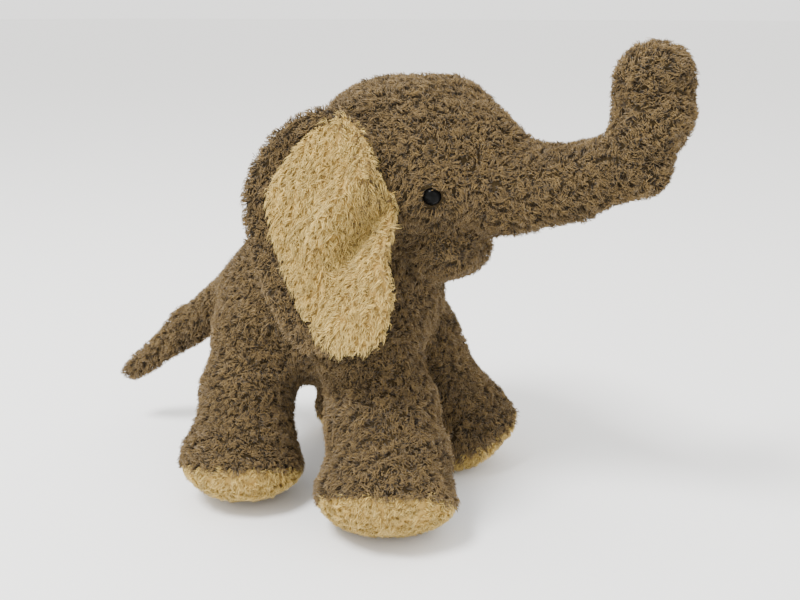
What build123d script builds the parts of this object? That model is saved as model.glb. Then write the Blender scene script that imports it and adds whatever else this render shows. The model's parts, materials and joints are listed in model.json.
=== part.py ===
from build123d import *
import os
from collections import namedtuple
from math import asin, degrees, radians, sqrt, tan

os.makedirs("parts", exist_ok=True)

# A standing plush elephant with a raised trunk, in mm. +Z is up, the face looks along -Y and
# +X is the toy's left. The origin is on the floor, under the middle of the toy.
# The toy is drawn as stuffed balls, joined in pairs by the cone that touches both.

Ball = namedtuple("Ball", "centre radius")
Leg = namedtuple("Leg", "name hip ankle")

ROUNDNESS = 0.5523  # how far a Bezier handle reaches on a quarter circle of radius 1

# Cloth and clearances
SKIN = 2.0          # plush cloth with its pile pressed flat
SOLE_SKIN = 3.0     # the thicker cloth of a foot pad
SLACK = 0.2         # between a cover and the stuffing inside it
JOINT_GAP = 0.5     # between a ball and the socket it turns in

# Head
CRANIUM = Ball(Vector(0, -24, 183), 48)
BROW = Ball(Vector(0, -54, 189), 35)
JAW_RIGHT = Ball(Vector(-7, -52, 152), 21)
JAW_LEFT = Ball(Vector(7, -52, 152), 21)
GUSSET_WIDTH = 28
MOUTH_HEIGHT = 170

# Neck and torso
NECK = Ball(Vector(0, -13, 142), 27)
NECK_LEAN = Vector(0, -19, 67)
NECK_SWING = 13
NECK_REACH = 62
CHEST = Ball(Vector(0, -5, 116), 38)
RUMP = Ball(Vector(0, 45, 102), 45)
BELLY_SEAM_HEIGHT = 80

# Trunk, from the face to the raised tip
TRUNK_ROOT = Ball(Vector(0, -89, 181), 21)
TRUNK_KNEE = Ball(Vector(0, -122, 185), 16.5)
TRUNK_BEND = Ball(Vector(0, -152, 198), 15)
TRUNK_BULB = Ball(Vector(0, -160, 218), 17.5)
TRUNK_END = Ball(Vector(0, -158, 236), 15.5)
TRUNK_SWING = 18
TRUNK_MOUTH = 6     # how far past the root ball the face is cleared for the trunk to swing

# Tail
TAIL_ROOT = Ball(Vector(0, 86, 104), 14)
TAIL_MIDDLE = Ball(Vector(-4, 130, 73), 10)
TAIL_TIP = Ball(Vector(-12, 172, 39), 5.5)
TAIL_SWING = 27
TAIL_MOUTH = 3      # the same, past the tail's root ball

# Legs: hip ball, narrow shank, wide ankle above the sewn-in foot pad
HIP_RADIUS = 25
SHANK_RADIUS = 24
SHANK_DROP = 32     # from the hip down the leg to the narrowest place
ANKLE_RADIUS = 33
SEAM_RADIUS = 32
SEAM_DROP = 16      # from the ankle down the leg to the pad's seam
PAD_DOME = 18
HIP_SWING = 17
HIP_MOUTH = 56      # how far below the hip the torso is cleared for the leg to swing
LEGS = [
    Leg("front_right", Vector(-28, -20, 88), Vector(-50, -44, 34)),
    Leg("front_left", Vector(28, -20, 88), Vector(45, -36, 33)),
    Leg("rear_right", Vector(-28, 53, 88), Vector(-50.5, 52, 33)),
    Leg("rear_left", Vector(28, 53, 88), Vector(50.5, 44, 33)),
]

# Ears: two cloth panels, sewn along the root line and round the rim
EAR_LAYER = 3.2
EAR_RIM = 4         # by which the grey back panel is wider than the cream front
EAR_ROOT_LOW = Vector(-52, -50, 178)
EAR_INWARD = Vector(0.976, 0.078, -0.205)
EAR_BACKWARD = Vector(-0.08, 0.997, 0)
EAR_OUTLINE = [(8, 16), (24, 36), (44, 40), (68, 22), (78, -6), (62, -46), (34, -77), (8, -79), (-5, -42)]

# Safety eyes
EYE_RADIUS = 4.8
EYE_BULGE = 4.0
EYE_SHANK_RADIUS = 2.0
EYE_SHANK_LENGTH = 12
WASHER_RADIUS = 7
WASHER_THICKNESS = 1.6
WASHER_BORE = 2.05
WASHER_DEPTH = 4    # from the outside of the cloth in to the washer
EYE_ALONG = 18      # from the cranium's centre towards the brow's
EYE_RADIAL = Vector(-0.94, 0, -0.34)


def radial_plane(origin, along):
    """A sketch plane that holds the line `along`, as its local Y, and any direction square to it."""
    across = Plane(origin=origin, z_dir=along).x_dir
    return Plane(origin=origin, x_dir=across, z_dir=across.cross(along))


def quarter_round(radius, height):
    """A quarter of an oval, from (radius, 0) up to (0, height), as one Bezier curve."""
    return Bezier((radius, 0), (radius, ROUNDNESS * height), (ROUNDNESS * radius, height), (0, height))


def add_taper(start, end, inset=0.0, mode=Mode.ADD):
    """Two balls and the cone that touches both, with a surface `inset` inside theirs."""
    spine = end.centre - start.centre
    first = start.radius - inset
    last = end.radius - inset
    tilt = degrees(asin((first - last) / spine.length))
    with BuildSketch(radial_plane(start.centre, spine)) as profile:
        with BuildLine():
            low = CenterArc((0, 0), first, -90, 90 + tilt)
            high = CenterArc((0, spine.length), last, tilt, 90 - tilt)
            Line(low @ 1, high @ 0)
            Line(high @ 1, low @ 0)
        make_face()
    revolve(profile.sketch, axis=Axis(start.centre, spine), mode=mode)


def cut_socket(ball, towards, swing, reach):
    """Clear the ball, and the wide cone that the limb leaving along `towards` swings in."""
    with Locations(ball.centre):
        Sphere(ball.radius + JOINT_GAP, mode=Mode.SUBTRACT)
    with BuildSketch(radial_plane(ball.centre, towards)) as mouth:
        with BuildLine():
            Polyline((0, 0), (reach, -reach * tan(radians(swing))), (reach, reach), (0, reach), close=True)
        make_face()
    revolve(mouth.sketch, axis=Axis(ball.centre, towards), mode=Mode.SUBTRACT)


# ---------------------------------------------------------------- legs


def leg_direction(leg):
    return (leg.ankle - leg.hip).normalized()


def leg_hinge(leg):
    """The direction of the hip's hinge: across the toy, square to the leg."""
    down = leg_direction(leg)
    return (Vector(1, 0, 0) - down * down.X).normalized()


def add_leg(leg, inset=0.0, mode=Mode.ADD):
    """The leg from the top of its hip ball to the pad's seam, `inset` inside the cover."""
    ankle_drop = (leg.ankle - leg.hip).length
    with BuildSketch(radial_plane(leg.hip, leg_direction(leg))) as profile:
        with BuildLine():
            crown = CenterArc((0, 0), HIP_RADIUS - inset, -90, 90)
            side = Spline(
                crown @ 1,
                (SHANK_RADIUS - inset, SHANK_DROP),
                (ANKLE_RADIUS - inset, ankle_drop),
                (SEAM_RADIUS - inset, ankle_drop + SEAM_DROP),
            )
            Polyline(side @ 1, (0, ankle_drop + SEAM_DROP), crown @ 0)
        make_face()
    revolve(profile.sketch, axis=Axis(leg.hip, leg_direction(leg)), mode=mode)


def add_dome(leg, inset=0.0, mode=Mode.ADD):
    """The puffed sole below the seam."""
    seam_centre = leg.ankle + leg_direction(leg) * SEAM_DROP
    with BuildSketch(radial_plane(seam_centre, leg_direction(leg))) as profile:
        with BuildLine():
            bulge = quarter_round(SEAM_RADIUS - inset, PAD_DOME - inset)
            Polyline(bulge @ 1, (0, 0), bulge @ 0)
        make_face()
    revolve(profile.sketch, axis=Axis(seam_centre, leg_direction(leg)), mode=mode)


def cut_hip(leg):
    """Clear the hip ball and the fan that the leg sweeps as it swings fore and aft."""
    width = HIP_RADIUS + JOINT_GAP
    spread = width + HIP_MOUTH * tan(radians(HIP_SWING))
    hinge = leg_hinge(leg)
    ahead = leg_direction(leg).cross(hinge)
    with Locations(leg.hip):
        Sphere(width, mode=Mode.SUBTRACT)
    with BuildSketch(Plane(origin=leg.hip, x_dir=ahead, z_dir=hinge)) as fan:
        with BuildLine():
            Polyline((-width, 0), (width, 0), (spread, HIP_MOUTH), (-spread, HIP_MOUTH), close=True)
        make_face()
    extrude(fan.sketch, amount=width, both=True, mode=Mode.SUBTRACT)


for leg in LEGS:
    with BuildPart() as leg_cover:
        add_leg(leg)
        add_leg(leg, inset=SKIN, mode=Mode.SUBTRACT)
    leg_cover.part.label = f"leg_cover_{leg.name}"
    export_step(leg_cover.part, f"parts/leg_cover_{leg.name}.step")

    with BuildPart() as foot_pad:
        add_dome(leg)
        add_dome(leg, inset=SOLE_SKIN, mode=Mode.SUBTRACT)
        split(bisect_by=Plane.XY, keep=Keep.TOP)
    foot_pad.part.label = f"foot_pad_{leg.name}"
    export_step(foot_pad.part, f"parts/foot_pad_{leg.name}.step")

    with BuildPart() as leg_stuffing:
        add_leg(leg, inset=SKIN + SLACK)
        add_dome(leg, inset=SOLE_SKIN + SLACK)
    leg_stuffing.part.label = f"leg_stuffing_{leg.name}"
    export_step(leg_stuffing.part, f"parts/leg_stuffing_{leg.name}.step")

# ---------------------------------------------------------------- torso


def cut_torso_sockets():
    cut_socket(NECK, NECK_LEAN, 0, NECK_REACH)
    cut_socket(TAIL_ROOT, TAIL_MIDDLE.centre - TAIL_ROOT.centre, TAIL_SWING, TAIL_ROOT.radius + TAIL_MOUTH)
    for each in LEGS:
        cut_hip(each)


def add_torso_cover():
    add_taper(CHEST, RUMP)
    add_taper(CHEST, RUMP, inset=SKIN, mode=Mode.SUBTRACT)
    cut_torso_sockets()


with BuildPart() as torso_panel_left:
    add_torso_cover()
    split(bisect_by=Plane.YZ, keep=Keep.TOP)
    split(bisect_by=Plane.XY.offset(BELLY_SEAM_HEIGHT), keep=Keep.TOP)
torso_panel_left.part.label = "torso_panel_left"
export_step(torso_panel_left.part, "parts/torso_panel_left.step")

with BuildPart() as torso_panel_right:
    add_torso_cover()
    split(bisect_by=Plane.YZ, keep=Keep.BOTTOM)
    split(bisect_by=Plane.XY.offset(BELLY_SEAM_HEIGHT), keep=Keep.TOP)
torso_panel_right.part.label = "torso_panel_right"
export_step(torso_panel_right.part, "parts/torso_panel_right.step")

with BuildPart() as belly_gusset:
    add_torso_cover()
    split(bisect_by=Plane.XY.offset(BELLY_SEAM_HEIGHT), keep=Keep.BOTTOM)
belly_gusset.part.label = "belly_gusset"
export_step(belly_gusset.part, "parts/belly_gusset.step")

with BuildPart() as torso_stuffing:
    add_taper(CHEST, RUMP, inset=SKIN + SLACK)
    cut_torso_sockets()
torso_stuffing.part.label = "torso_stuffing"
export_step(torso_stuffing.part, "parts/torso_stuffing.step")

with BuildPart() as neck_cover:
    with Locations(NECK.centre):
        Sphere(NECK.radius)
        Sphere(NECK.radius - SKIN, mode=Mode.SUBTRACT)
neck_cover.part.label = "neck_cover"
export_step(neck_cover.part, "parts/neck_cover.step")

with BuildPart() as neck_stuffing:
    with Locations(NECK.centre):
        Sphere(NECK.radius - SKIN - SLACK)
neck_stuffing.part.label = "neck_stuffing"
export_step(neck_stuffing.part, "parts/neck_stuffing.step")

# ---------------------------------------------------------------- head

FACE_LENGTH = (BROW.centre - CRANIUM.centre).length
FACE_SPINE = (BROW.centre - CRANIUM.centre).normalized()
FACE_SLOPE = (CRANIUM.radius - BROW.radius) / FACE_LENGTH
EYE_SQUARE = (EYE_RADIAL - FACE_SPINE * EYE_RADIAL.dot(FACE_SPINE)).normalized()
EYE_OUTWARD = EYE_SQUARE * sqrt(1 - FACE_SLOPE**2) + FACE_SPINE * FACE_SLOPE
EYE_DEPTH = CRANIUM.radius - FACE_SLOPE * EYE_ALONG
EYE_SEAT = CRANIUM.centre + FACE_SPINE * EYE_ALONG + EYE_OUTWARD * EYE_DEPTH
EYE_PLANE = Plane(origin=EYE_SEAT, z_dir=EYE_OUTWARD)
EYE_PLANE_LEFT = Plane(
    origin=Vector(-EYE_SEAT.X, EYE_SEAT.Y, EYE_SEAT.Z),
    z_dir=Vector(-EYE_OUTWARD.X, EYE_OUTWARD.Y, EYE_OUTWARD.Z),
)


def add_head(inset=0.0, mode=Mode.ADD):
    add_taper(CRANIUM, BROW, inset, mode)
    add_taper(JAW_RIGHT, JAW_LEFT, inset, mode)


def cut_head_sockets():
    cut_socket(NECK, NECK_LEAN * -1, NECK_SWING, NECK_REACH)
    trunk_way = TRUNK_KNEE.centre - TRUNK_ROOT.centre
    cut_socket(TRUNK_ROOT, trunk_way, TRUNK_SWING, TRUNK_ROOT.radius + TRUNK_MOUTH)


def add_head_cover():
    add_head()
    add_head(SKIN, Mode.SUBTRACT)
    cut_head_sockets()


with BuildPart() as head_side_right:
    add_head_cover()
    split(bisect_by=Plane.YZ.offset(-GUSSET_WIDTH / 2), keep=Keep.BOTTOM)
    split(bisect_by=Plane.XY.offset(MOUTH_HEIGHT), keep=Keep.TOP)
    with BuildSketch(EYE_PLANE):
        Circle(WASHER_BORE)
    extrude(amount=WASHER_DEPTH, both=True, mode=Mode.SUBTRACT)
head_side_right.part.label = "head_side_right"
export_step(head_side_right.part, "parts/head_side_right.step")

with BuildPart() as head_side_left:
    mirror(head_side_right.part, about=Plane.YZ)
head_side_left.part.label = "head_side_left"
export_step(head_side_left.part, "parts/head_side_left.step")

with BuildPart() as head_gusset:
    add_head_cover()
    split(bisect_by=Plane.YZ.offset(-GUSSET_WIDTH / 2), keep=Keep.TOP)
    split(bisect_by=Plane.YZ.offset(GUSSET_WIDTH / 2), keep=Keep.BOTTOM)
    split(bisect_by=Plane.XY.offset(MOUTH_HEIGHT), keep=Keep.TOP)
head_gusset.part.label = "head_gusset"
export_step(head_gusset.part, "parts/head_gusset.step")

with BuildPart() as jaw_panel:
    add_head_cover()
    split(bisect_by=Plane.XY.offset(MOUTH_HEIGHT), keep=Keep.BOTTOM)
jaw_panel.part.label = "jaw_panel"
export_step(jaw_panel.part, "parts/jaw_panel.step")

with BuildPart() as head_stuffing:
    add_head(SKIN + SLACK)
    cut_head_sockets()
    with BuildSketch(EYE_PLANE, EYE_PLANE_LEFT):
        Circle(WASHER_RADIUS + SLACK)
    extrude(amount=-EYE_SHANK_LENGTH - SLACK, mode=Mode.SUBTRACT)
head_stuffing.part.label = "head_stuffing"
export_step(head_stuffing.part, "parts/head_stuffing.step")

with BuildPart() as eye_right:
    with BuildSketch(Plane(origin=EYE_SEAT, x_dir=EYE_PLANE.x_dir, z_dir=EYE_PLANE.y_dir * -1)):
        with BuildLine():
            dome = quarter_round(EYE_RADIUS, EYE_BULGE)
            Polyline(
                dome @ 1,
                (0, -EYE_SHANK_LENGTH),
                (EYE_SHANK_RADIUS, -EYE_SHANK_LENGTH),
                (EYE_SHANK_RADIUS, 0),
                dome @ 0,
            )
        make_face()
    revolve(axis=Axis(EYE_SEAT, EYE_OUTWARD))
eye_right.part.label = "eye_right"
export_step(eye_right.part, "parts/eye_right.step")

with BuildPart() as eye_left:
    mirror(eye_right.part, about=Plane.YZ)
eye_left.part.label = "eye_left"
export_step(eye_left.part, "parts/eye_left.step")

with BuildPart() as eye_washer_right:
    with BuildSketch(EYE_PLANE.offset(-WASHER_DEPTH)):
        Circle(WASHER_RADIUS)
        Circle(WASHER_BORE, mode=Mode.SUBTRACT)
    extrude(amount=-WASHER_THICKNESS)
eye_washer_right.part.label = "eye_washer_right"
export_step(eye_washer_right.part, "parts/eye_washer_right.step")

with BuildPart() as eye_washer_left:
    mirror(eye_washer_right.part, about=Plane.YZ)
eye_washer_left.part.label = "eye_washer_left"
export_step(eye_washer_left.part, "parts/eye_washer_left.step")

# ---------------------------------------------------------------- ears

EAR_PLANE = Plane(origin=EAR_ROOT_LOW, x_dir=EAR_BACKWARD, z_dir=EAR_INWARD)


def ear_outline(grow):
    """The ear's outline points, moved out from the middle of the ear by `grow`."""
    middle = sum((Vector(*point) for point in EAR_OUTLINE), Vector(0, 0)) / len(EAR_OUTLINE)
    reaches = [Vector(*point) - middle for point in EAR_OUTLINE]
    return [middle + reach * (1 + grow / reach.length) for reach in reaches]


with BuildPart() as ear_front_right:
    with BuildSketch(EAR_PLANE):
        with BuildLine():
            Spline(*ear_outline(0), periodic=True)
        make_face()
    extrude(amount=-EAR_LAYER)
ear_front_right.part.label = "ear_front_right"
export_step(ear_front_right.part, "parts/ear_front_right.step")

with BuildPart() as ear_back_right:
    with BuildSketch(EAR_PLANE):
        with BuildLine():
            Spline(*ear_outline(EAR_RIM), periodic=True)
        make_face()
    extrude(amount=EAR_LAYER)
ear_back_right.part.label = "ear_back_right"
export_step(ear_back_right.part, "parts/ear_back_right.step")

with BuildPart() as ear_front_left:
    mirror(ear_front_right.part, about=Plane.YZ)
ear_front_left.part.label = "ear_front_left"
export_step(ear_front_left.part, "parts/ear_front_left.step")

with BuildPart() as ear_back_left:
    mirror(ear_back_right.part, about=Plane.YZ)
ear_back_left.part.label = "ear_back_left"
export_step(ear_back_left.part, "parts/ear_back_left.step")

# ---------------------------------------------------------------- trunk and tail

# Each stuffed length: its name, its balls in order, and how far the next one swings in its end.
LENGTHS = [
    ("trunk_base", [TRUNK_ROOT, TRUNK_KNEE], TRUNK_BEND, TRUNK_SWING),
    ("trunk_middle", [TRUNK_KNEE, TRUNK_BEND], TRUNK_BULB, TRUNK_SWING),
    ("trunk_tip", [TRUNK_BEND, TRUNK_BULB, TRUNK_END], None, 0),
    ("tail_root", [TAIL_ROOT, TAIL_MIDDLE], TAIL_TIP, TAIL_SWING),
    ("tail_tip", [TAIL_MIDDLE, TAIL_TIP], None, 0),
]


def add_length(balls, inset=0.0, mode=Mode.ADD):
    for start, end in zip(balls, balls[1:]):
        add_taper(start, end, inset, mode)


def cut_length_socket(balls, following, swing):
    """The cup in the end of a length, for the ball of the length that follows it."""
    if following:
        last = balls[-1]
        past_the_end = 2 * last.radius
        cut_socket(last, following.centre - last.centre, swing, past_the_end)


for name, balls, following, swing in LENGTHS:
    with BuildPart() as length_cover:
        add_length(balls)
        add_length(balls, SKIN, Mode.SUBTRACT)
        cut_length_socket(balls, following, swing)
    length_cover.part.label = f"{name}_cover"
    export_step(length_cover.part, f"parts/{name}_cover.step")

    with BuildPart() as length_stuffing:
        add_length(balls, SKIN + SLACK)
        cut_length_socket(balls, following, swing)
    length_stuffing.part.label = f"{name}_stuffing"
    export_step(length_stuffing.part, f"parts/{name}_stuffing.step")
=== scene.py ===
import json
from collections import namedtuple

import bpy
import numpy as np
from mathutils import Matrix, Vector


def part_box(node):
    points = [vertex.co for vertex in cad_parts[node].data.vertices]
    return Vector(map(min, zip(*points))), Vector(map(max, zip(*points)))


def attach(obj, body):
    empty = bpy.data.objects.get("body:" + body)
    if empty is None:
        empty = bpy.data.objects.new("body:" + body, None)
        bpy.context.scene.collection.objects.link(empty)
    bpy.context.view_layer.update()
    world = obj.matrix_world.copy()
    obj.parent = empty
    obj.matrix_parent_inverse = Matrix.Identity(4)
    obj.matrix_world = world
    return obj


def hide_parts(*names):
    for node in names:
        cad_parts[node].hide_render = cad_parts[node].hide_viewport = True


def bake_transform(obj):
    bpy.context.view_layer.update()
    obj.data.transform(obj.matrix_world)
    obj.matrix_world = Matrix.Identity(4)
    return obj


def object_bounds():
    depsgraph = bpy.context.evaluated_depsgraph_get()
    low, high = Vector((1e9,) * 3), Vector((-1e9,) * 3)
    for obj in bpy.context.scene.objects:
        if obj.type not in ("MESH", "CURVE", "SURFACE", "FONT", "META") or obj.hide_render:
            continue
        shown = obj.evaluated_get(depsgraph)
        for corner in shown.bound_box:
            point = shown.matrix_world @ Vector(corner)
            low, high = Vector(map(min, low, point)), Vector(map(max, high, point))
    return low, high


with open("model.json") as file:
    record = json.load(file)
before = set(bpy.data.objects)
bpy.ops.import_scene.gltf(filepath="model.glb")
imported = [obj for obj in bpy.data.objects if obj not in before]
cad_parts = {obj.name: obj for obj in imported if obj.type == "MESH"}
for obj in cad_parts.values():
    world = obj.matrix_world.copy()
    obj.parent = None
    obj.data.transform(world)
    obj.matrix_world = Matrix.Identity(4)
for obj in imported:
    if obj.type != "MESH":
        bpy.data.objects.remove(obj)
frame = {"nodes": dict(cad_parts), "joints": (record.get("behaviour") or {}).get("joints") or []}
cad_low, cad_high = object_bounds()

# A plush elephant. The skin is one smooth closed surface, cut into a piece for each place where
# the toy bends, and the pile is real locks of hair that grow on it. All lengths are in metres.

Ball = namedtuple("Ball", "centre radius")
Leg = namedtuple("Leg", "name hip way ankle foot_way thigh shank foot bend_start bend_end")
Bend = namedtuple("Bend", "first second start end")
Pile = namedtuple("Pile", "spacing members width thick height reach curl pinch")

SEED = 20
rng = np.random.default_rng(SEED)


def mm(*values):
    return np.array(values, float) * 0.001


def unit(vectors):
    vectors = np.asarray(vectors, float)
    return vectors / np.maximum(np.linalg.norm(vectors, axis=-1, keepdims=True), 1e-12)


# ---------------------------------------------------------------- where things are

PIVOT = {joint["name"]: np.array(joint["pos_m"], float) for joint in frame["joints"]}
NECK = PIVOT["head_nod"]
TAIL = PIVOT["tail_swing"]

SKULL = [
    Ball(NECK + mm(0, -11, 41.5), 0.0495),
    Ball(NECK + mm(0, -31, 48), 0.0415),
    Ball(NECK + mm(0, -43, 46.5), 0.0362),
]
JAW_RIGHT = Ball(NECK + mm(-7, -38, 9), 0.0215)
JAW_LEFT = Ball(NECK + mm(7, -38, 9), 0.0215)
THROAT = Ball(NECK, 0.0290)
BODY = [
    Ball(NECK + mm(0, 8, -26), 0.0390),
    Ball(NECK + mm(0, 31, -41), 0.0450),
    Ball(TAIL + mm(0, -41, -3), 0.0460),
]
TRUNK = [
    Ball(PIVOT["trunk_base_bend"] + mm(0, 1, -1.5), 0.0225),
    Ball(PIVOT["trunk_middle_bend"], 0.0163),
    Ball(PIVOT["trunk_tip_bend"], 0.0145),
    Ball(PIVOT["trunk_tip_bend"] + mm(0, -5.5, 20.5), 0.0173),
    Ball(PIVOT["trunk_tip_bend"] + mm(0, -5.4, 36.4), 0.0165),
]
TAIL_BALLS = [
    Ball(TAIL + mm(0, -4, 2), 0.0145),
    Ball(PIVOT["tail_lift"], 0.0098),
    Ball(PIVOT["tail_lift"] + mm(-8, 43, -35), 0.0056),
]

# For each leg: from its hip to the top of its foot, which way the foot points, the radius of the
# thigh, the shank and the foot, and how far down the leg the cloth starts and stops bending.
LEG_SHAPES = {
    "front_right": (mm(-20, -23, -46), (-0.45, -0.21, -0.86), 0.0265, 0.0270, 0.0355, 0.016, 0.042),
    "front_left": (mm(12, -12, -46), (0.30, -0.27, -0.92), 0.0200, 0.0195, 0.0335, 0.016, 0.042),
    "rear_right": (mm(-27, -6, -44), (-0.30, -0.15, -0.93), 0.0260, 0.0220, 0.0325, 0.022, 0.046),
    "rear_left": (mm(24, -16, -44), (0.12, -0.04, -0.98), 0.0230, 0.0215, 0.0310, 0.022, 0.046),
}
LEGS = []
for name, (span, foot_way, *thickness) in LEG_SHAPES.items():
    hip = PIVOT[f"leg_{name}_swing"]
    LEGS.append(Leg(name, hip, unit(span), hip + span, unit(foot_way), *thickness))
FLARE_RISE = 0.014      # how far above the foot's top the leg starts to widen
SEAM_DROP = 0.025       # from the foot's top to the seam around its pad
PAD_DOME = 0.018
SOLE_HEIGHT = 0.0006

# The middle of each eye's dome, from its box: the shank goes straight in from it.
EYE_INWARD = mm(-3.4, 2.0, 1.3)
EYE_SEATS = [
    np.array(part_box(f"eye_{side}")).mean(0) - EYE_INWARD * (sign, 1, 1)
    for side, sign in (("left", 1), ("right", -1))
]
SOCKET_DEPTH = 0.0021
SOCKET_WIDTH = 0.0075

# The crease of the mouth: from the trunk's root back to the cheek, on both sides.
MOUTH_CORNERS = list(NECK + mm((0, -62, 20), (-12, -57, 18), (-22, -46, 17), (-29, -34, 20)))
MOUTH = [MOUTH_CORNERS, [corner * (-1, 1, 1) for corner in MOUTH_CORNERS]]
CREASE_DEPTH = 0.0030
CREASE_WIDTH = 0.0032
LUMPINESS = 0.0006      # stuffing is never quite even

# ---------------------------------------------------------------- the shape of the skin


def step(value):
    """A smooth rise from 0 to 1 as the value goes from 0 to 1."""
    value = np.clip(value, 0, 1)
    return value * value * (3 - 2 * value)


def line_distance(points, corners):
    """Distance from points to a line through some corners."""
    nearest = np.full(len(points), np.inf)
    for first, last in zip(corners, corners[1:]):
        way = last - first
        share = np.clip((points - first) @ way / (way @ way), 0, 1)
        nearest = np.minimum(nearest, np.linalg.norm(points - first - share[:, None] * way, axis=-1))
    return nearest


def drift(points, size, seed):
    """A smooth random vector at each point, which changes over about `size`."""
    waves = np.random.default_rng(seed)
    total = np.zeros((len(points), 3))
    for _ in range(5):
        way = unit(waves.normal(size=3)) * 2 * np.pi / (size * waves.uniform(0.7, 1.5))
        total += np.sin(points @ way + waves.uniform(0, 7))[:, None] * unit(waves.normal(size=3))
    return total


def smooth_min(first, second, width):
    """The nearer of two distances, with a fillet about `width` wide where they cross."""
    near = np.maximum(width - np.abs(first - second), 0) / width
    return np.minimum(first, second) - near * near * width / 4


def taper(points, first, last):
    """Distance to two balls and the cone that touches both."""
    axis = last.centre - first.centre
    length = np.linalg.norm(axis)
    shrink = (first.radius - last.radius) / length
    slope = np.sqrt(1 - shrink * shrink)
    offset = points - first.centre
    along = offset @ (axis / length)
    out = np.sqrt(np.maximum((offset * offset).sum(-1) - along * along, 0))
    place = slope * along - shrink * out
    low = np.hypot(out, along) - first.radius
    high = np.hypot(out, along - length) - last.radius
    side = slope * out + shrink * along - first.radius
    return np.where(place < 0, low, np.where(place > slope * length, high, side))


def chain(points, balls, width):
    distance = taper(points, balls[0], balls[1])
    for first, last in zip(balls[1:], balls[2:]):
        distance = smooth_min(distance, taper(points, first, last), width)
    return distance


def place_on(points, start, way):
    """How far points lie along a line, and how far out from it."""
    offset = points - start
    along = offset @ way
    return along, np.sqrt(np.maximum((offset * offset).sum(-1) - along * along, 0))


def foot_distance(points, leg):
    """A foot like a bell: it widens from the shank down to the seam of its puffed pad."""
    width = leg.foot - leg.shank

    def girth(place):
        return leg.shank + width * step((place + FLARE_RISE) / (SEAM_DROP + FLARE_RISE))

    along, out = place_on(points, leg.ankle, leg.foot_way)
    held = np.clip(along, -FLARE_RISE, SEAM_DROP)
    steepness = (girth(held + 0.001) - girth(held - 0.001)) / 0.002
    side = (out - girth(held)) / np.sqrt(1 + steepness**2)
    crown = np.hypot(out, along + FLARE_RISE) - leg.shank
    below = np.maximum(along - SEAM_DROP, 0)
    share = np.hypot(out / leg.foot, below / PAD_DOME)
    slope = np.hypot(out / leg.foot**2, below / PAD_DOME**2)
    dome = share * (share - 1) / np.maximum(slope, 1e-9)
    return np.where(along < -FLARE_RISE, crown, np.where(along > SEAM_DROP, dome, side))


def leg_distance(points, leg):
    thigh = taper(points, Ball(leg.hip, leg.thigh), Ball(leg.ankle, leg.shank))
    return smooth_min(thigh, foot_distance(points, leg), 0.010)


def skin_distance(points):
    """Distance from points to the skin of the whole toy, less inside it."""
    head = smooth_min(chain(points, SKULL, 0.004), taper(points, JAW_RIGHT, JAW_LEFT), 0.006)
    head = smooth_min(head, chain(points, TRUNK, 0.005), 0.014)
    torso = chain(points, BODY, 0.004)
    torso = smooth_min(torso, chain(points, TAIL_BALLS, 0.004), 0.012)
    for leg in LEGS:
        torso = smooth_min(torso, leg_distance(points, leg), 0.012)
    torso = smooth_min(torso, np.linalg.norm(points - THROAT.centre, axis=-1) - THROAT.radius, 0.010)
    whole = smooth_min(torso, head, 0.009) + LUMPINESS * drift(points, 0.040, 9)[:, 0]
    for seat in EYE_SEATS:
        whole = whole + SOCKET_DEPTH * np.exp(-((points - seat) ** 2).sum(-1) / SOCKET_WIDTH**2)
    for mouth in MOUTH:
        whole = whole + CREASE_DEPTH * np.exp(-((line_distance(points, mouth) / CREASE_WIDTH) ** 2))
    return -smooth_min(-whole, points[:, 2] - SOLE_HEIGHT, 0.004)


def slope_of(points, distance):
    """The direction in which a distance grows, which is square to its surface."""
    reach = 0.0004
    parts = []
    for axis in range(3):
        shift = np.zeros(3)
        shift[axis] = reach
        parts.append(distance(points + shift) - distance(points - shift))
    return unit(np.stack(parts, -1))


def surface_net(distance, low, high, pitch):
    """Points and quads on the zero level of `distance`: one point in each cell that it crosses."""
    axes = [np.arange(first, last + pitch, pitch) for first, last in zip(low, high)]
    grid = np.stack(np.meshgrid(*axes, indexing="ij"), -1)
    field = distance(grid.reshape(-1, 3)).reshape(grid.shape[:3])
    cells = tuple(count - 1 for count in field.shape)
    total = np.zeros(cells + (3,))
    crossings = np.zeros(cells)

    def window(start):
        return field[tuple(slice(first, first + count) for first, count in zip(start, cells))]

    for axis in range(3):
        across, aside = (axis + 1) % 3, (axis + 2) % 3
        for corner in range(4):
            start = [0, 0, 0]
            start[across], start[aside] = corner % 2, corner // 2
            end = list(start)
            end[axis] = 1
            near, far = window(start), window(end)
            crosses = (near < 0) != (far < 0)
            share = near / np.where(crosses, near - far, 1)
            place = np.zeros(cells + (3,)) + start
            place[..., axis] += share
            total += place * crosses[..., None]
            crossings += crosses
    active = crossings > 0
    index = np.full(cells, -1)
    index[active] = np.arange(active.sum())
    points = np.array(low) + pitch * (np.argwhere(active) + total[active] / crossings[active][:, None])
    quads = []
    ways = np.eye(3, dtype=int)
    for axis in range(3):
        across, aside = ways[(axis + 1) % 3], ways[(axis + 2) % 3]
        inside = field < 0
        here = np.take(inside, range(cells[axis]), axis)
        there = np.take(inside, range(1, cells[axis] + 1), axis)
        edges = np.argwhere(here != there)
        ring = [edges - across - aside, edges - aside, edges, edges - across]
        quad = np.stack([index[tuple(corner.T)] for corner in ring], 1)
        outward = inside[tuple(edges.T)]
        quads.append(np.where(outward[:, None], quad, quad[:, ::-1]))
    return points, np.concatenate(quads)


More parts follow.
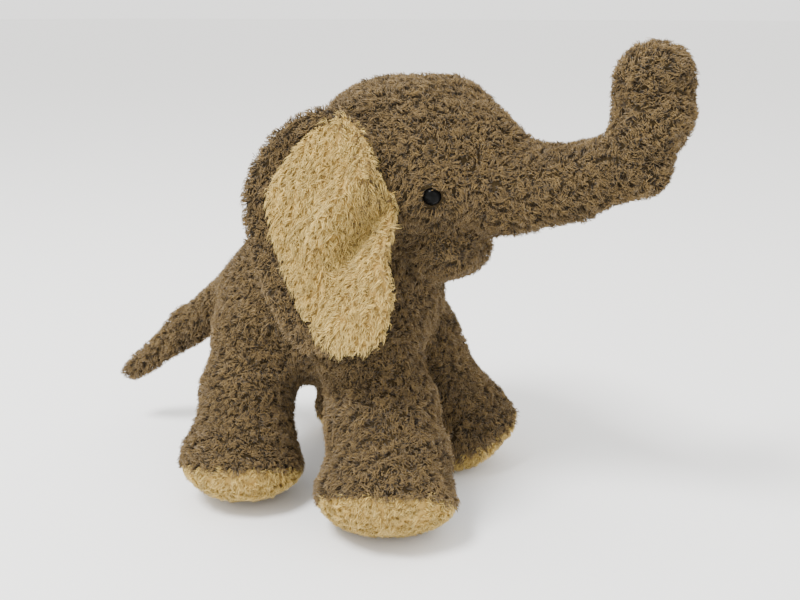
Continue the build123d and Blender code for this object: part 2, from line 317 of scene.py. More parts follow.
def relax(points, quads, distance, rounds):
    """Even out the quads, and bring the points back to the surface after each round."""
    for _ in range(rounds):
        total = np.zeros_like(points)
        count = np.zeros(len(points))
        for corner in range(4):
            for other in (quads[:, corner - 1], quads[:, (corner + 1) % 4]):
                np.add.at(total, quads[:, corner], points[other])
                np.add.at(count, quads[:, corner], 1)
        points = points + 0.5 * (total / count[:, None] - points)
        points = points - slope_of(points, distance) * distance(points)[:, None]
    return points


# ---------------------------------------------------------------- meshes


def new_mesh(name, points, faces, smooth=True):
    """An object made from an array of points and a list of face arrays."""
    mesh = bpy.data.meshes.new(name)
    mesh.vertices.add(len(points))
    mesh.vertices.foreach_set("co", np.asarray(points, np.float32).ravel())
    corners = np.concatenate([face.ravel() for face in faces])
    sizes = np.concatenate([np.full(len(face), face.shape[1]) for face in faces])
    mesh.loops.add(len(corners))
    mesh.loops.foreach_set("vertex_index", corners.astype(np.int32))
    mesh.polygons.add(len(sizes))
    mesh.polygons.foreach_set("loop_start", (np.cumsum(sizes) - sizes).astype(np.int32))
    mesh.polygons.foreach_set("use_smooth", np.full(len(sizes), smooth))
    mesh.update(calc_edges=True)
    mesh.validate()
    piece = bpy.data.objects.new(name, mesh)
    bpy.context.scene.collection.objects.link(piece)
    return piece


def close_holes(points, quads):
    """Fan faces from the middle of each open loop, so that the piece is a closed form."""
    sides = np.concatenate([quads[:, [corner, (corner + 1) % 4]] for corner in range(4)])
    keys = {(int(a), int(b)) for a, b in sides}
    after = {b: a for a, b in keys if (b, a) not in keys}
    middles, fans = [], []
    while after:
        first, following = next(iter(after.items()))
        loop = [first]
        del after[first]
        while following in after:
            loop.append(following)
            following = after.pop(following)
        centre = len(points) + len(middles)
        middles.append(points[loop].mean(0))
        fans += [(a, b, centre) for a, b in zip(loop, loop[1:] + loop[:1])]
    if not middles:
        return points, []
    return np.concatenate([points, middles]), [np.array(fans)]


def cut_piece(name, points, quads):
    """The part of a mesh that some of its quads make, closed at its cuts."""
    used, places = np.unique(quads, return_inverse=True)
    own = places.reshape(quads.shape)
    closed, fans = close_holes(points[used], own)
    return new_mesh(name, closed, [own] + fans)


def vertex_normals(points, quads):
    a, b, c, d = (points[quads[:, corner]] for corner in range(4))
    diagonals = np.cross(c - a, d - b)
    normals = np.zeros_like(points)
    for corner in range(4):
        np.add.at(normals, quads[:, corner], diagonals)
    return unit(normals)


PUFF = 0.0022           # the furthest that the cloth may swell
SHRINK = 0.0010         # how far the whole skin is drawn in for that
PRESSURE = 4.0
CLOTH_FRAMES = 20


def inflate(points, quads, pinned):
    """Let the cloth puff up under pressure between pinned seams, no point moving more than PUFF."""
    piece = new_mesh("cloth_pass", points, [quads])
    group = piece.vertex_groups.new(name="seams")
    group.add([int(place) for place in np.flatnonzero(pinned)], 1.0, "REPLACE")
    cloth = piece.modifiers.new("cloth", "CLOTH")
    cloth.settings.vertex_group_mass = "seams"
    cloth.settings.use_pressure = True
    cloth.settings.uniform_pressure_force = PRESSURE
    cloth.settings.effector_weights.gravity = 0.0
    cloth.settings.quality = 4
    cloth.point_cache.frame_start, cloth.point_cache.frame_end = 1, CLOTH_FRAMES
    for frame_number in range(1, CLOTH_FRAMES + 1):
        bpy.context.scene.frame_set(frame_number)
    settled = piece.evaluated_get(bpy.context.evaluated_depsgraph_get())
    after = np.zeros(len(points) * 3, np.float32)
    settled.data.vertices.foreach_get("co", after)
    bpy.data.objects.remove(piece)
    bpy.context.scene.frame_set(1)
    move = after.reshape(-1, 3).astype(float) - points
    far = np.linalg.norm(move, axis=1, keepdims=True)
    swollen = points + move * np.minimum(1, PUFF / np.maximum(far, 1e-9))
    return swollen - SHRINK * vertex_normals(points, quads)


# ---------------------------------------------------------------- pile


TRIES = 7               # random places tried for each square of the spacing
AROUND = [(x, y, z) for x in (-1, 0, 1) for y in (-1, 0, 1) for z in (-1, 0, 1)]


def scatter(points, quads, spacing):
    """Evenly scattered places on a mesh: the quad of each, and its share of the quad's corners."""
    a, b, c, d = (points[quads[:, corner]] for corner in range(4))
    area = 0.5 * np.linalg.norm(np.cross(c - a, d - b), axis=1)
    tries = int(area.sum() / spacing**2 * TRIES)
    face = rng.choice(len(quads), tries, p=area / area.sum())
    u, v = rng.uniform(size=(2, tries))
    shares = np.stack([(1 - u) * (1 - v), u * (1 - v), u * v, (1 - u) * v], 1)
    places = (points[quads[face]] * shares[:, :, None]).sum(1)
    cell = np.floor(places / spacing).astype(int)
    taken = {}
    kept = []
    limit = spacing**2

    def crowded(x, y, z, i, j, k):
        for di, dj, dk in AROUND:
            for p, q, r in taken.get((i + di, j + dj, k + dk), ()):
                if (x - p) ** 2 + (y - q) ** 2 + (z - r) ** 2 < limit:
                    return True
        return False

    for number, (place, box) in enumerate(zip(places.tolist(), cell.tolist())):
        if not crowded(*place, *box):
            taken.setdefault(tuple(box), []).append(place)
            kept.append(number)
    kept = np.array(kept)
    return face[kept], shares[kept]


# A strand: a ring of RING points at each station but the last, which is its tip. Its shares from
# root to tip say how it stands up, leans over, bows to the side and hooks, and how thick it is.
STATIONS = np.array([0.0, 0.55, 1.0])
RING = 3
ROWS = len(STATIONS) - 1
RISE = 1 - (1 - STATIONS) ** 2
RUN = STATIONS**1.4
BOW = np.sin(np.pi * STATIONS * 0.85)
HOOK = np.sin(np.pi * STATIONS)
GIRTH = np.array([0.9, 1.0])
ROOT_DEPTH = 0.0005


def strands(roots, normals, lean, pile):
    """Locks of hair: points, root-to-tip shares and tones, as (strand, point, ...) arrays."""
    count = len(roots)
    side = np.cross(normals, lean)
    shape = (count, pile.members)

    def varied(by_lock, by_hair):
        return by_lock * rng.normal(size=(count, 1)) + by_hair * rng.normal(size=shape)

    angle = rng.uniform(0, 2 * np.pi, shape)
    spread = pile.width * np.sqrt(rng.uniform(0, 1, shape))
    thick = pile.thick * rng.uniform(0.8, 1.3, shape)
    tufted = 1 + 0.16 * drift(roots, 0.009, 8)[:, :1]
    height = pile.height * tufted * np.clip(1 + varied(0.10, 0.12), 0.6, 1.35)
    reach = pile.reach * np.clip(0.8 + varied(0.25, 0.55), -0.7, 1.9)
    curl = pile.curl * varied(0.8, 0.7)
    hook = pile.curl * varied(0.5, 0.4)

    def across(vectors):
        return vectors[:, None, None, :]

    def spots(amount, course):
        return (amount[:, :, None] * course)[..., None]

    close = 1 - pile.pinch * STATIONS
    middle = (
        across(roots)
        - across(normals) * ROOT_DEPTH
        + across(normals) * spots(height, RISE)
        + across(lean) * spots(reach, RUN)
        + across(lean) * spots(hook, HOOK)
        + across(side) * spots(curl, BOW)
        + across(lean) * spots(spread * np.cos(angle), close)
        + across(side) * spots(spread * np.sin(angle), close)
    )
    way = unit(np.gradient(middle, axis=2))
    first = unit(np.cross(way, across(side) + across(lean) * 0.3))
    second = np.cross(way, first)
    rings = []
    turn = rng.uniform(0, 2 * np.pi, shape)
    for corner in range(RING):
        swing = (turn + corner * 2 * np.pi / RING)[..., None, None]
        arm = first[:, :, :ROWS] * np.cos(swing) + second[:, :, :ROWS] * np.sin(swing)
        rings.append(middle[:, :, :ROWS] + arm * (thick[:, :, None] * GIRTH)[..., None])
    body = np.stack(rings, 3).reshape(count * pile.members, ROWS * RING, 3)
    tips = middle[:, :, ROWS].reshape(count * pile.members, 1, 3)
    tone = 0.5 + varied(0.13, 0.12)
    return np.concatenate([body, tips], 1), tone.reshape(-1)


POINT_SHARES = np.append(np.repeat(STATIONS[:ROWS], RING), 1.0)
RING_SIDES = [(k, (k + 1) % RING) for k in range(RING)]
RING_STARTS = range(0, (ROWS - 1) * RING, RING)
SIDE_QUADS = np.array(
    [(low + a, low + b, low + RING + b, low + RING + a) for low in RING_STARTS for a, b in RING_SIDES]
)
LAST_RING = (ROWS - 1) * RING
TIP = ROWS * RING
END_TRIANGLES = np.array([(LAST_RING + a, LAST_RING + b, TIP) for a, b in RING_SIDES] + [(2, 1, 0)])


def hair_piece(name, hairs, tones):
    """One mesh of many strands, with a cell of the OFBake layout for each."""
    count, size = hairs.shape[:2]
    starts = np.arange(count)[:, None, None] * size
    faces = [(SIDE_QUADS + starts).reshape(-1, 4), (END_TRIANGLES + starts).reshape(-1, 3)]
    piece = new_mesh(name, hairs.reshape(-1, 3), faces)
    mesh = piece.data
    for title, values in (("along", np.tile(POINT_SHARES, count)), ("tone", np.repeat(tones, size))):
        layer = mesh.attributes.new(title, "FLOAT", "POINT")
        layer.data.foreach_set("value", values.astype(np.float32))
    columns = int(np.ceil(np.sqrt(count)))
    column, row = np.arange(count) % columns, np.arange(count) // columns
    u = (column[:, None] + 0.2 + 0.3 * np.append(np.tile(np.arange(RING), ROWS), 1)) / columns
    v = (row[:, None] + 0.1 + 0.8 * POINT_SHARES) / columns
    layout = np.stack([u, v], -1).reshape(-1, 2)
    corners = np.zeros(len(mesh.loops), np.int32)
    mesh.loops.foreach_get("vertex_index", corners)
    layer = mesh.uv_layers.new(name="OFBake")
    layer.data.foreach_set("uv", layout[corners].astype(np.float32).ravel())
    return piece


# ---------------------------------------------------------------- materials


def new_material(name, **shader):
    """A material with its Principled shader's sockets set, and its node tree."""
    material = bpy.data.materials.new(name)
    material.use_nodes = True
    nodes = material.node_tree.nodes
    principled = nodes["Principled BSDF"]
    for socket, value in shader.items():
        principled.inputs[socket.replace("_", " ")].default_value = value
    return material, nodes, material.node_tree.links, principled


def ramp(nodes, stops):
    node = nodes.new("ShaderNodeValToRGB")
    elements = node.color_ramp.elements
    while len(elements) < len(stops):
        elements.new(0.5)
    for element, (place, colour) in zip(elements, stops):
        element.position = place
        element.color = (*colour, 1)
    return node


def noise(nodes, links, scale, detail):
    place = nodes.new("ShaderNodeTexCoord")
    node = nodes.new("ShaderNodeTexNoise")
    node.inputs["Scale"].default_value = scale
    node.inputs["Detail"].default_value = detail
    links.new(place.outputs["Object"], node.inputs["Vector"])
    return node


def mixed(nodes, links, blend, share, first, second):
    node = nodes.new("ShaderNodeMix")
    node.data_type = "RGBA"
    node.blend_type = blend
    if isinstance(share, float):
        node.inputs["Factor"].default_value = share
    else:
        links.new(share, node.inputs["Factor"])
    for socket, value in ((node.inputs[6], first), (node.inputs[7], second)):
        if isinstance(value, tuple):
            socket.default_value = (*value, 1)
        else:
            links.new(value, socket)
    return node.outputs[2]


def hair_material(name, root, shaft, tip, dull, sheen):
    """Hair that lightens from a dark root, painted shade for the crevices between locks, to its tip;
    it differs from lock to lock and is mottled over the toy.
    """
    material, nodes, links, principled = new_material(
        name, Roughness=0.88, Sheen_Weight=sheen, Sheen_Roughness=0.55, Specular_IOR_Level=0.25
    )
    along = nodes.new("ShaderNodeAttribute")
    along.attribute_name = "along"
    # The dark root end of this ramp is painted shade for the crevices between the locks.
    length_ramp = ramp(nodes, [(0.0, root), (0.45, shaft), (1.0, tip)])
    links.new(along.outputs["Fac"], length_ramp.inputs["Fac"])
    tone = nodes.new("ShaderNodeAttribute")
    tone.attribute_name = "tone"
    tones = [(0.0, (0.45, 0.43, 0.40)), (0.5, (0.78, 0.77, 0.76)), (1.0, (1.15, 1.12, 1.05))]
    tone_ramp = ramp(nodes, tones)
    links.new(tone.outputs["Fac"], tone_ramp.inputs["Fac"])
    length_colour, tone_colour = length_ramp.outputs["Color"], tone_ramp.outputs["Color"]
    toned = mixed(nodes, links, "MULTIPLY", 1.0, length_colour, tone_colour)
    patches = noise(nodes, links, 38.0, 3.0)
    patch_ramp = ramp(nodes, [(0.35, dull), (0.65, (1.0, 1.0, 1.0))])
    links.new(patches.outputs["Fac"], patch_ramp.inputs["Fac"])
    colour = mixed(nodes, links, "MULTIPLY", 1.0, toned, patch_ramp.outputs["Color"])
    links.new(colour, principled.inputs["Base Color"])
    return material


def cloth_material(name, dark, light):
    """The knitted ground that the pile grows from, darkened as painted shade for the gaps between the
    locks.
    """
    material, nodes, links, principled = new_material(name, Roughness=0.95, Specular_IOR_Level=0.2)
    patches = noise(nodes, links, 60.0, 4.0)
    shade = ramp(nodes, [(0.3, dark), (0.7, light)])
    links.new(patches.outputs["Fac"], shade.inputs["Fac"])
    links.new(shade.outputs["Color"], principled.inputs["Base Color"])
    loops = nodes.new("ShaderNodeTexVoronoi")
    loops.inputs["Scale"].default_value = 900.0
    place = nodes.new("ShaderNodeTexCoord")
    links.new(place.outputs["Object"], loops.inputs["Vector"])
    bump = nodes.new("ShaderNodeBump")
    bump.inputs["Strength"].default_value = 0.6
    bump.inputs["Distance"].default_value = 0.0006
    links.new(loops.outputs["Distance"], bump.inputs["Height"])
    links.new(bump.outputs["Normal"], principled.inputs["Normal"])
    return material


def moulded_material(name, dark, light, roughness, gloss):
    """Moulded plastic: almost even, with faint cloudiness and fine scuffs in its gloss."""
    material, nodes, links, principled = new_material(name, Specular_IOR_Level=gloss)
    clouds = noise(nodes, links, 300.0, 3.0)
    shade = ramp(nodes, [(0.3, dark), (0.7, light)])
    links.new(clouds.outputs["Fac"], shade.inputs["Fac"])
    links.new(shade.outputs["Color"], principled.inputs["Base Color"])
    scuffs = noise(nodes, links, 1800.0, 5.0)
    dullness = nodes.new("ShaderNodeMapRange")
    dullness.inputs["To Min"].default_value = roughness
    dullness.inputs["To Max"].default_value = roughness + 0.12
    links.new(scuffs.outputs["Fac"], dullness.inputs["Value"])
    links.new(dullness.outputs["Result"], principled.inputs["Roughness"])
    return material


# The dark root colours below are painted shade for the crevices between locks.
brown_hair = hair_material(
    "brown_pile",
    root=(0.060, 0.037, 0.013),
    shaft=(0.17, 0.110, 0.040),
    tip=(0.335, 0.220, 0.082),
    dull=(0.80, 0.79, 0.76),
    sheen=0.10,
)
cream_hair = hair_material(
    "cream_pile",
    root=(0.38, 0.240, 0.055),
    shaft=(0.66, 0.465, 0.135),
    tip=(0.93, 0.720, 0.255),
    dull=(0.92, 0.89, 0.84),
    sheen=0.08,
)
# Both grounds are darker than their pile: painted shade in the gaps between the locks.
brown_shade_cloth = cloth_material("brown_ground_shade", (0.026, 0.017, 0.006), (0.046, 0.030, 0.011))
cream_shade_cloth = cloth_material("cream_ground_shade", (0.30, 0.190, 0.050), (0.42, 0.280, 0.085))
eye_plastic = moulded_material("eye_gloss", (0.002, 0.002, 0.002), (0.005, 0.005, 0.005), 0.10, 0.05)
washer_plastic = moulded_material("washer_matt", (0.62, 0.62, 0.58), (0.74, 0.74, 0.70), 0.45, 0.4)

# ---------------------------------------------------------------- which body each place follows

NECK_WAY = unit((0, -0.5, 0.866))
TRUNK_WAYS = [
    unit(TRUNK[1].centre - TRUNK[0].centre),
    unit(TRUNK[2].centre - TRUNK[0].centre),
    unit(TRUNK[3].centre - TRUNK[1].centre),
]
TAIL_WAY = unit(TAIL_BALLS[1].centre - TAIL_BALLS[0].centre)
# Each trunk length, the body that it bends from, and how far the bend reaches to either side.
TRUNK_BENDS = [
    ("trunk_base", "head", 0.011),
    ("trunk_middle", "trunk_base", 0.010),
    ("trunk_tip", "trunk_middle", 0.010),
]
NECK_BELOW = 0.018      # how far the bends reach along the neck and the tail
NECK_ABOVE = 0.014
NECK_SPLIT = -0.001
TAIL_START = 0.004
TAIL_REACH = 0.010


def bend(first, second, place, way, before, after):
    return Bend(first, second, place - way * before, place + way * after)


BENDS = {
    "neck_lower": bend("torso", "neck", NECK, NECK_WAY, NECK_BELOW, NECK_SPLIT),
    "neck_upper": bend("neck", "head", NECK, NECK_WAY, NECK_SPLIT, NECK_ABOVE),
    "tail_root": bend("torso", "tail_root", TAIL, TAIL_WAY, -TAIL_START, 0.026),
    "tail_tip": bend("tail_root", "tail_tip", PIVOT["tail_lift"], TAIL_WAY, TAIL_REACH, TAIL_REACH),
}
for (name, parent, reach), way in zip(TRUNK_BENDS, TRUNK_WAYS):
    BENDS[name] = bend(parent, name, PIVOT[f"{name}_bend"], way, reach, reach)

RIDES = {"torso": "torso", "head": "head"}
for leg in LEGS:
    limb = f"leg_{leg.name}"
    BENDS[limb] = bend("torso", limb, leg.hip, leg.way, -leg.bend_start, leg.bend_end)
    RIDES[f"pad_{leg.name}"] = limb
REGIONS = list(RIDES) + list(BENDS)
MARGIN = 0.003          # by which a piece starts before the cloth in it starts to bend
RUMP_TOP = 0.150


def beyond(points, place, way):
    return (points - place) @ way


def region_of(points):
    """The name, as a place in REGIONS, of the piece that each point belongs to."""
    found = np.full(len(points), REGIONS.index("torso"))

    def claim(name, chosen):
        found[chosen] = REGIONS.index(name)

    height = beyond(points, NECK, NECK_WAY)
    claim("neck_lower", height > -NECK_BELOW - MARGIN)
    claim("neck_upper", height > 0)
    claim("head", height > NECK_ABOVE + MARGIN)
    nearest = np.argmin([leg_distance(points, leg) for leg in LEGS], 0)
    for number, leg in enumerate(LEGS):
        down_leg = beyond(points, leg.hip, leg.way)
        down_foot = beyond(points, leg.ankle, leg.foot_way)
        claim(f"leg_{leg.name}", (nearest == number) & (down_leg > leg.bend_start - MARGIN))
        claim(f"pad_{leg.name}", (nearest == number) & (down_foot > SEAM_DROP))
    tail = near_tail(points)
    rump = (points[:, 1] > BODY[-1].centre[1]) & (points[:, 2] < RUMP_TOP)
    claim("tail_root", rump & tail & (beyond(points, TAIL, TAIL_WAY) > TAIL_START - MARGIN))
    claim("tail_tip", tail & (beyond(points, PIVOT["tail_lift"], TAIL_WAY) > -TAIL_REACH - MARGIN))
    trunk = near_trunk(points)
    for (name, _, reach), way in zip(TRUNK_BENDS, TRUNK_WAYS):
        claim(name, trunk & (beyond(points, PIVOT[f"{name}_bend"], way) > -reach - MARGIN))
    return found


def near_tail(points):
    """On the tail or close to it, and so clear of the heels."""
    return chain(points, TAIL_BALLS, 0.004) < 0.018


def near_trunk(points):
    return points[:, 1] < TRUNK[0].centre[1] + 0.016


# ---------------------------------------------------------------- build the skin

GRID = 0.003
ROOM = 0.012            # around the CAD model, for the skin to stand out in
skin_points, skin_quads = surface_net(
    skin_distance, np.array(cad_low) - ROOM, np.array(cad_high) + ROOM, GRID
)
skin_points = relax(skin_points, skin_quads, skin_distance, 4)
face_regions = region_of(skin_points[skin_quads].mean(1))

# The seams that hold the cloth down: around each part, but not where one cover only bends.
ONE_COVER = {
    "trunk_middle": "trunk_base",
    "trunk_tip": "trunk_base",
    "neck_upper": "neck_lower",
    "tail_tip": "tail_root",
}
cover_of = np.array([REGIONS.index(ONE_COVER.get(region, region)) for region in REGIONS])
first_cover = np.full(len(skin_points), len(REGIONS))
last_cover = np.full(len(skin_points), -1)
for corner in range(4):
    np.minimum.at(first_cover, skin_quads[:, corner], cover_of[face_regions])
    np.maximum.at(last_cover, skin_quads[:, corner], cover_of[face_regions])
pinned = (first_cover != last_cover) | (skin_points[:, 2] < 0.002)
for seat in EYE_SEATS:
    pinned |= np.linalg.norm(skin_points - seat, axis=1) < 0.007
for mouth in MOUTH:
    pinned |= line_distance(skin_points, mouth) < 0.003
flat_points = skin_points
skin_points = inflate(skin_points, skin_quads, pinned)

REPLACED = {
    "torso": ["torso_panel_left", "torso_panel_right", "belly_gusset", "torso_stuffing"],
    "neck_lower": ["neck_cover", "neck_stuffing"],
    "head": ["head_side_left", "head_side_right", "head_gusset", "jaw_panel", "head_stuffing"],
}
for name in ("trunk_base", "trunk_middle", "trunk_tip", "tail_root", "tail_tip"):
    REPLACED[name] = [f"{name}_cover", f"{name}_stuffing"]
for leg in LEGS:
    REPLACED[f"leg_{leg.name}"] = [f"leg_cover_{leg.name}", f"leg_stuffing_{leg.name}"]
    REPLACED[f"pad_{leg.name}"] = [f"foot_pad_{leg.name}"]


def carry(piece, region):
    """Make a piece follow the body or the bend of its region."""
    if region in RIDES:
        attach(piece, RIDES[region])
    else:
        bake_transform(piece)


for number, region in enumerate(REGIONS):
    cream = region.startswith("pad")
    skin = cut_piece(f"skin_{region}", skin_points, skin_quads[face_regions == number])
    skin.data.materials.append(cream_shade_cloth if cream else brown_shade_cloth)
    carry(skin, region)
    if region in REPLACED:
        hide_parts(*REPLACED[region])

# ---------------------------------------------------------------- ears

EAR_LOW = mm(-52, -50, 178)
EAR_OUT = -unit((0.976, 0.078, -0.205))
EAR_BACK = unit((-0.08, 0.997, 0))
EAR_UP = np.cross(EAR_BACK, EAR_OUT)
# Outlines of the two panels, as (backward, upward) from the low end of the ear's root.
CREAM_OUTLINE = mm(
    (10, 15), (19, 31), (33, 37), (52, 21), (65, 1), (65, -16), (57, -34), (44, -57),
    (32, -70), (19, -75), (3, -72), (-5, -61), (-7, -45), (-2, -30), (1, -13),
)
BROWN_OUTLINE = mm(
    (12, 16), (24, 34), (45, 40), (70, 25), (83, -5), (70, -46), (43, -77), (14, -71), (2, -42),
)
EAR_HEART = mm(32, -16)
FOLD_TOP = mm(2, 12)
FOLD_WAY = unit((0.504, -0.864))
FOLD_OUT = unit((-0.864, -0.504))
BACKWARD = np.array((1, 0))
SWAY_START = -0.020     # the height under which an ear's tip swings back
SPOKES = 72
RINGS = 24


def closed_curve(corners, count):
    """Points along a smooth closed curve through `corners`."""
    share = np.arange(count) / count * len(corners)
    place = share.astype(int)
    t = (share - place)[:, None]
    a, b, c, d = (corners[(place + shift) % len(corners)] for shift in (-1, 0, 1, 2))
    square = 2 * a - 5 * b + 4 * c - d
    cube = 3 * b - a - 3 * c + d
    return 0.5 * (2 * b + (c - a) * t + square * t**2 + cube * t**3)


def ear_lift(flat, curl):
    """How far the ear's middle layer stands out from its plane: a ridge, a fold and a curled flap."""
    along = (flat - FOLD_TOP) @ FOLD_WAY
    off = (flat - FOLD_TOP) @ FOLD_OUT
    window = step((along + 0.006) / 0.016) * step((0.070 - along) / 0.040)
    ridge = np.exp(-(((off + 0.009) / 0.008) ** 2)) * window
    valley = np.exp(-(((off - 0.002) / np.where(off < 0.002, 0.0050, 0.0130)) ** 2)) * window
    puff = np.exp(-(((flat - mm(40, 4)) / mm(26, 28)) ** 2).sum(-1))
    flap = step((off - 0.006) / 0.022) * step((along + 0.002) / 0.030)
    return 0.0035 * puff + 0.0070 * ridge - 0.0125 * valley + curl * flap + 0.001


def pillow(outline, depth, roundness, offset, rim_lift, curl, sway, side):
    """A closed cushion on an outline of the ear's plane, whose middle layer is the ear's."""
    shares = np.sin(np.linspace(0, np.pi / 2, RINGS + 1)[1:])
    thick = depth * (1 - shares**roundness) ** 0.5
    flat = EAR_HEART + (outline - EAR_HEART)[None] * shares[:, None, None]
    flat = np.concatenate([EAR_HEART[None], flat.reshape(-1, 2)])
    thick = np.concatenate([[depth], np.repeat(thick, SPOKES)])
    outward = np.concatenate([[0], np.repeat(shares, SPOKES)])
    lift = ear_lift(flat, curl) + offset
    lift = lift + rim_lift * step((outward - 0.80) / 0.12)
    flat = flat + BACKWARD * sway * np.maximum(SWAY_START - flat[:, 1:], 0)
    base = EAR_LOW + flat[:, :1] * EAR_BACK + flat[:, 1:] * EAR_UP
    front = base + EAR_OUT * (lift + thick)[:, None]
    rear = base + EAR_OUT * (lift - thick)[:, None]
    count = len(flat)
    ring = np.arange(SPOKES)
    following = (ring + 1) % SPOKES
    quads = []
    for row in range(RINGS - 1):
        inner, outer = 1 + row * SPOKES, 1 + (row + 1) * SPOKES
        quads.append(np.stack([inner + ring, outer + ring, outer + following, inner + following], 1))
    quads = np.concatenate(quads)
    fans = np.stack([np.zeros(SPOKES, int), 1 + ring, 1 + following], 1)
    rim = 1 + (RINGS - 1) * SPOKES
    rear_of = np.arange(count) + count
    rear_of[rim:] = np.arange(rim, count)
    points = np.concatenate([front, rear[:rim]])
    rear_quads = rear_of[quads][:, ::-1]
    rear_fans = rear_of[fans][:, ::-1]
    quads = np.concatenate([quads, rear_quads])
    fans = np.concatenate([fans, rear_fans])
    if side < 0:
        return points, quads, fans
    return points * np.array([-1, 1, 1]), quads[:, ::-1], fans[:, ::-1]


cream_curve = closed_curve(CREAM_OUTLINE, SPOKES)
brown_curve = closed_curve(BROWN_OUTLINE, SPOKES)

# How far each ear's front edge turns out, and how far back its tip swings for its length.
CURLS = {"right": 0.007, "left": -0.012}
SWAYS = {"right": 0.0, "left": 0.70}
EARS = {}
for side_name, side in (("right", -1), ("left", 1)):
    for layer, curve, depth, roundness, offset, rim_lift in (
        ("front", cream_curve, 0.0036, 4, 0.0034, 0),
        ("back", brown_curve, 0.0038, 10, -0.0026, 0.0034),
    ):
        points, quads, fans = pillow(
            curve, depth, roundness, offset, rim_lift, CURLS[side_name], SWAYS[side_name], side
        )
        cream = layer == "front"
        skin = new_mesh(f"skin_ear_{layer}_{side_name}", points, [quads, fans])
        skin.data.materials.append(cream_shade_cloth if cream else brown_shade_cloth)
        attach(skin, f"ear_{side_name}")
        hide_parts(f"ear_{layer}_{side_name}")
        EARS[layer, side_name] = (points, np.concatenate([quads, fans[:, [0, 1, 2, 0]]]))

# ---------------------------------------------------------------- grow the pile

THIN = 1.0
BROWN = Pile(0.0020 * THIN, 11, 0.0017 * THIN, 0.00019 * THIN, 0.0033, 0.0026, 0.0015, 0.50)
CREAM = Pile(0.0020 * THIN, 12, 0.0016 * THIN, 0.00017 * THIN, 0.0029, 0.0036, 0.0011, 0.42)
PAD = Pile(0.0021 * THIN, 10, 0.0015 * THIN, 0.00018 * THIN, 0.0023, 0.0026, 0.0009, 0.50)
BODY_DISORDER = 0.6
EAR_DISORDER = 0.35
MOST_STRANDS = 19000
EYE_CLEARANCE = 0.0053
FLOOR_CLEARANCE = 0.0002


def combed(points, normals, flow, disorder):
    """A direction along the surface for each lock: the way the pile lies, plus some disorder."""
    way = flow + disorder * (0.45 * drift(points, 0.018, 5) + rng.normal(size=points.shape))
    for seat in EYE_SEATS:
        away = points - seat
        way = way + 3 * unit(away) * np.exp(-(away**2).sum(-1, keepdims=True) / 0.009**2)
    way = way - normals * (way * normals).sum(-1, keepdims=True)
    return unit(way)


def body_flow(points):
    """The pile lies down the legs and flanks, back over the head and out along the trunk and tail."""
    flow = np.tile([0.0, 0.35, -0.8], (len(points), 1))
    head = beyond(points, NECK, NECK_WAY) > 0.010
    flow[head] = (0, 0.5, -0.5)
    flow[near_trunk(points) & (points[:, 1] < TRUNK[0].centre[1])] = (0, -0.6, -0.1)
    return flow


def grow(label, flat, points, quads, normals, cream, pile, disorder, flow_of, carry_piece, keep=None):
    """Cover quads of a mesh with locks, split into pieces of at most MOST_STRANDS strands.

    The locks are set out on the mesh as it was before the cloth puffed up, in `flat`.
    """
    face, shares = scatter(flat, quads, pile.spacing)
    roots = (points[quads[face]] * shares[:, :, None]).sum(1)
    upright = unit((normals[quads[face]] * shares[:, :, None]).sum(1))
    if keep is not None:
        chosen = keep((flat[quads[face]] * shares[:, :, None]).sum(1))
        roots, upright = roots[chosen], upright[chosen]
    lean = combed(roots, upright, flow_of(roots), disorder)
    hairs, tones = strands(roots, upright, lean, pile)
    hairs[:, :, 2] = np.maximum(hairs[:, :, 2], FLOOR_CLEARANCE)
    order = np.argsort(np.repeat(roots[:, 2], pile.members), kind="stable")
    pieces = int(np.ceil(len(hairs) / MOST_STRANDS))
    for number, part in enumerate(np.array_split(order, pieces)):
        name = f"pile_{label}" if pieces == 1 else f"pile_{label}_{number + 1}"
        piece = hair_piece(name, hairs[part], tones[part])
        piece.data.materials.append(cream_hair if cream else brown_hair)
        carry_piece(piece)


def clear_of_eyes(roots):
    return np.all([np.linalg.norm(roots - seat, axis=1) > EYE_CLEARANCE for seat in EYE_SEATS], 0)


skin_normals = vertex_normals(skin_points, skin_quads)
for number, region in enumerate(REGIONS):
    cream = region.startswith("pad")
    grow(
        region,
        flat_points,
        skin_points,
        skin_quads[face_regions == number],
        skin_normals,
        cream,
        PAD if cream else BROWN,
        BODY_DISORDER,
        body_flow,
        lambda piece: carry(piece, region),
        clear_of_eyes,
    )


def ear_flow(roots):
    return np.tile([0.0, 0.12, -1.0], (len(roots), 1))


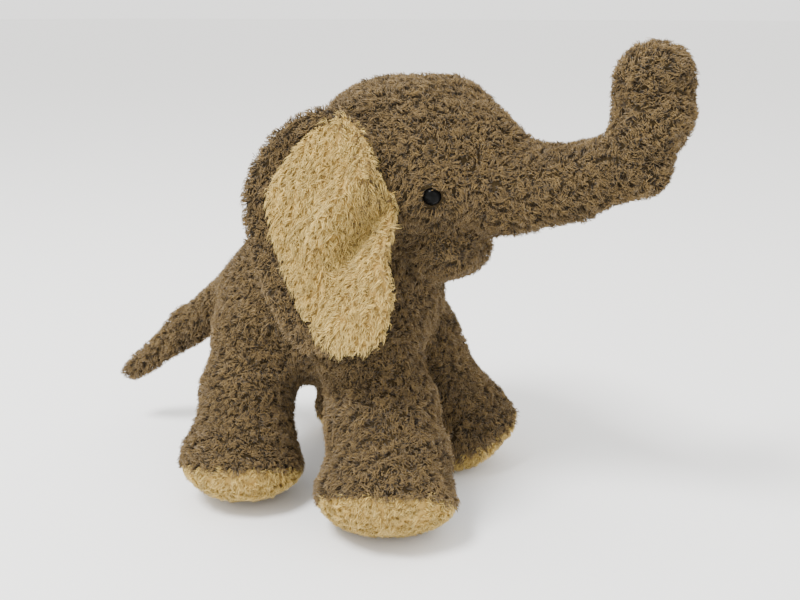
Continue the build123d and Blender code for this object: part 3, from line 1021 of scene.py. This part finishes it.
for (layer, side_name), (points, quads) in EARS.items():
    cream = layer == "front"
    grow(
        f"ear_{layer}_{side_name}",
        points,
        points,
        quads,
        vertex_normals(points, quads),
        cream,
        CREAM if cream else BROWN,
        EAR_DISORDER if cream else BODY_DISORDER,
        ear_flow,
        lambda piece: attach(piece, f"ear_{side_name}"),
    )

# ---------------------------------------------------------------- carried-over parts

for kind, material in (("eye", eye_plastic), ("eye_washer", washer_plastic)):
    for side_name in ("left", "right"):
        mesh = frame["nodes"][f"{kind}_{side_name}"].data
        mesh.materials.clear()
        mesh.materials.append(material)

# ---------------------------------------------------------------- studio

FLOOR_REACH = 40
floor_corners = FLOOR_REACH * np.array([(-1, -1, 0), (1, -1, 0), (1, 1, 0), (-1, 1, 0)])
floor = new_mesh("floor", floor_corners, [np.array([(0, 1, 2, 3)])])
floor_material, *_, = new_material("floor_paper", Roughness=0.9, Base_Color=(0.92, 0.92, 0.91, 1))
floor.data.materials.append(floor_material)

world = bpy.data.worlds.new("studio")
bpy.context.scene.world = world
world.use_nodes = True
sky = world.node_tree.nodes["Background"]
sky.inputs["Color"].default_value = (1.0, 0.99, 0.97, 1)
sky.inputs["Strength"].default_value = 1.9


def softbox(name, place, target, size, power):
    light = bpy.data.objects.new(name, bpy.data.lights.new(name, "AREA"))
    light.data.size = size
    light.data.energy = power
    light.location = place
    light.rotation_euler = (Vector(target) - Vector(place)).to_track_quat("-Z", "Y").to_euler()
    bpy.context.scene.collection.objects.link(light)


LIT_PLACE = (0, 0, 0.12)
softbox("key", (-0.9, 0.25, 1.6), LIT_PLACE, 0.5, 54)
softbox("fill", (-0.8, -1.3, 0.9), LIT_PLACE, 1.0, 3)

camera = bpy.data.objects.new("camera", bpy.data.cameras.new("camera"))
camera.data.lens = 45
camera.data.sensor_width = 36
camera.data.clip_start = 0.01
camera.location = mm(-464.2, -290.9, 264.4)
aim = mm(-28, -39, 120)
camera.rotation_euler = (Vector(aim) - Vector(camera.location)).to_track_quat("-Z", "Y").to_euler()
bpy.context.scene.collection.objects.link(camera)
bpy.context.scene.camera = camera
